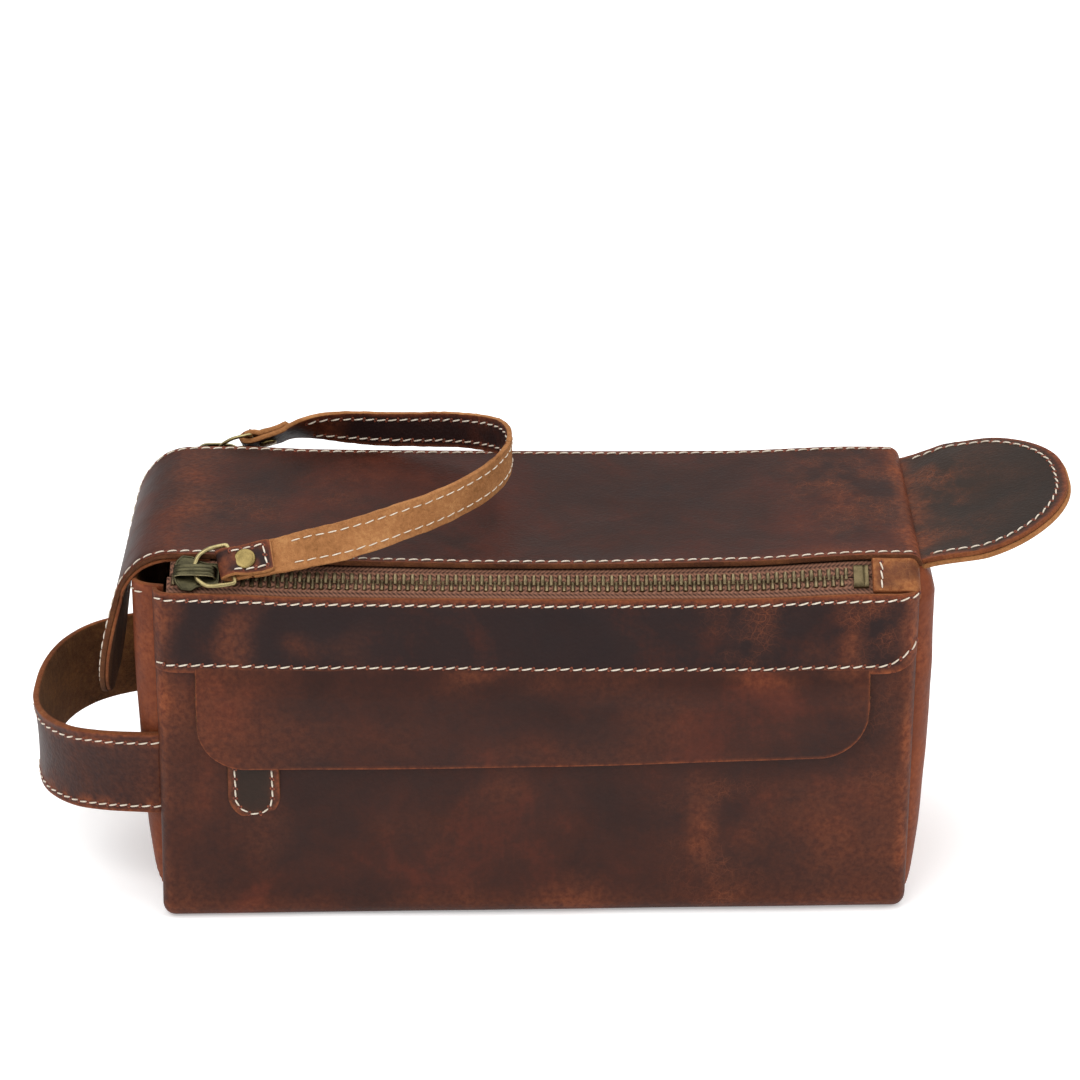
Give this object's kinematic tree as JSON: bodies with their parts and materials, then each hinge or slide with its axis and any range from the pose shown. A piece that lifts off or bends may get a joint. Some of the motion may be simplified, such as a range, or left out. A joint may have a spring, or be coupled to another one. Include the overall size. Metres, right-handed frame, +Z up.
{
  "type": "shaving kit bag",
  "caption": "Box-shaped leather shaving kit bag with a hinged zipped top panel, paired zip sliders on one pull strap, a side loop handle, an end tab and a flapped front pocket.",
  "frame": {"origin": "centre of the bag's flat bottom, on the surface it stands on", "axes": "+X along the bag towards the end tab, -Y towards the front pocket, +Z up"},
  "size_m": [0.3713, 0.1246, 0.1565],
  "materials": {
    "leather_grain": "waxed pull-up grain, satin",
    "leather_suede": "napped flesh side, matt",
    "lining_cloth": "plain woven lining",
    "zip_tape": "herringbone zip tape",
    "zip_brass": "antique brass teeth",
    "old_brass": "antique brass, brushed"
  },
  "bodies": {
    "bag": {"body_shell": "leather_grain", "left_end_panel": "leather_grain", "right_end_panel": "leather_grain", "main_lining": "lining_cloth", "front_band": "leather_grain", "back_band": "leather_grain", "lid_hinge_strip": "leather_grain", "front_body_tape": "zip_tape", "back_body_tape": "zip_tape", "front_body_teeth": "zip_brass", "back_body_teeth": "zip_brass", "front_bottom_stop": "zip_brass", "back_bottom_stop": "zip_brass", "front_zip_patch": "leather_grain", "back_zip_patch": "leather_grain", "handle_anchors": "leather_grain", "pocket_bag": "lining_cloth", "pocket_zip_tape": "zip_tape", "pocket_zip_teeth": "zip_brass", "pocket_zip_stops": "zip_brass"},
    "lid": {"lid_panel": "leather_grain", "lid_lining": "lining_cloth", "front_lid_tape": "zip_tape", "back_lid_tape": "zip_tape", "front_lid_teeth": "zip_brass", "back_lid_teeth": "zip_brass"},
    "front_slider": {"front_slider": "old_brass"},
    "back_slider": {"back_slider": "old_brass"},
    "strap": {"pull_strap": "leather_suede", "front_strap_tab": "leather_grain", "back_strap_tab": "leather_grain", "front_ring": "old_brass", "back_ring": "old_brass", "front_strap_rivet": "old_brass", "back_strap_rivet": "old_brass"},
    "handle": {"side_handle": "leather_grain"},
    "ear": {"ear_top": "leather_grain", "ear_backing": "leather_suede"},
    "flap": {"front_flap": "leather_grain"},
    "pocket_slider": {"pocket_slider": "old_brass"},
    "pocket_pull": {"pocket_pull_link": "old_brass", "pocket_pull_tab": "leather_grain"}
  },
  "joints": [
    {"name": "lid_open", "type": "hinge", "parent": "bag", "child": "lid", "pos_m": [0.118, 0, 0.1322], "axis": [0, 1, 0], "range_deg": [0, 105], "deforming": ["pull_strap"]},
    {"name": "front_zip_slide", "type": "slide", "parent": "bag", "child": "front_slider", "axis": [1, 0, 0], "range_m": [0, 0.205]},
    {"name": "back_zip_slide", "type": "slide", "parent": "bag", "child": "back_slider", "axis": [1, 0, 0], "range_m": [0, 0.205]},
    {"name": "strap_swing", "type": "hinge", "parent": "front_slider", "child": "strap", "pos_m": [-0.1158, 0, 0.13038], "axis": [0, -1, 0], "range_deg": [0, 100]},
    {"name": "flap_lift", "type": "hinge", "parent": "bag", "child": "flap", "pos_m": [-0.001, -0.0635, 0.0922], "axis": [-1, 0, 0], "range_deg": [0, 140]},
    {"name": "pocket_zip_slide", "type": "slide", "parent": "bag", "child": "pocket_slider", "axis": [1, 0, 0], "range_m": [0, 0.18]},
    {"name": "pocket_pull_swing", "type": "hinge", "parent": "pocket_slider", "child": "pocket_pull", "pos_m": [-0.099, -0.0595, 0.08], "axis": [0, -1, 0], "range_deg": [-75, 75]},
    {"name": "handle_flex", "type": "hinge", "parent": "bag", "child": "handle", "pos_m": [-0.151, 0, 0.051], "axis": [0, 1, 0], "range_deg": [-18, 18], "stiffness_Nm_per_rad": 0.5},
    {"name": "ear_flex", "type": "hinge", "parent": "bag", "child": "ear", "pos_m": [0.1372, 0, 0.1294], "axis": [0, -1, 0], "range_deg": [-30, 50], "stiffness_Nm_per_rad": 0.7}
  ],
  "couplings": [
    {"joint": "front_zip_slide", "follows": "lid_open", "m_per_rad": 0.11186},
    {"joint": "back_zip_slide", "follows": "lid_open", "m_per_rad": 0.11186}
  ]
}
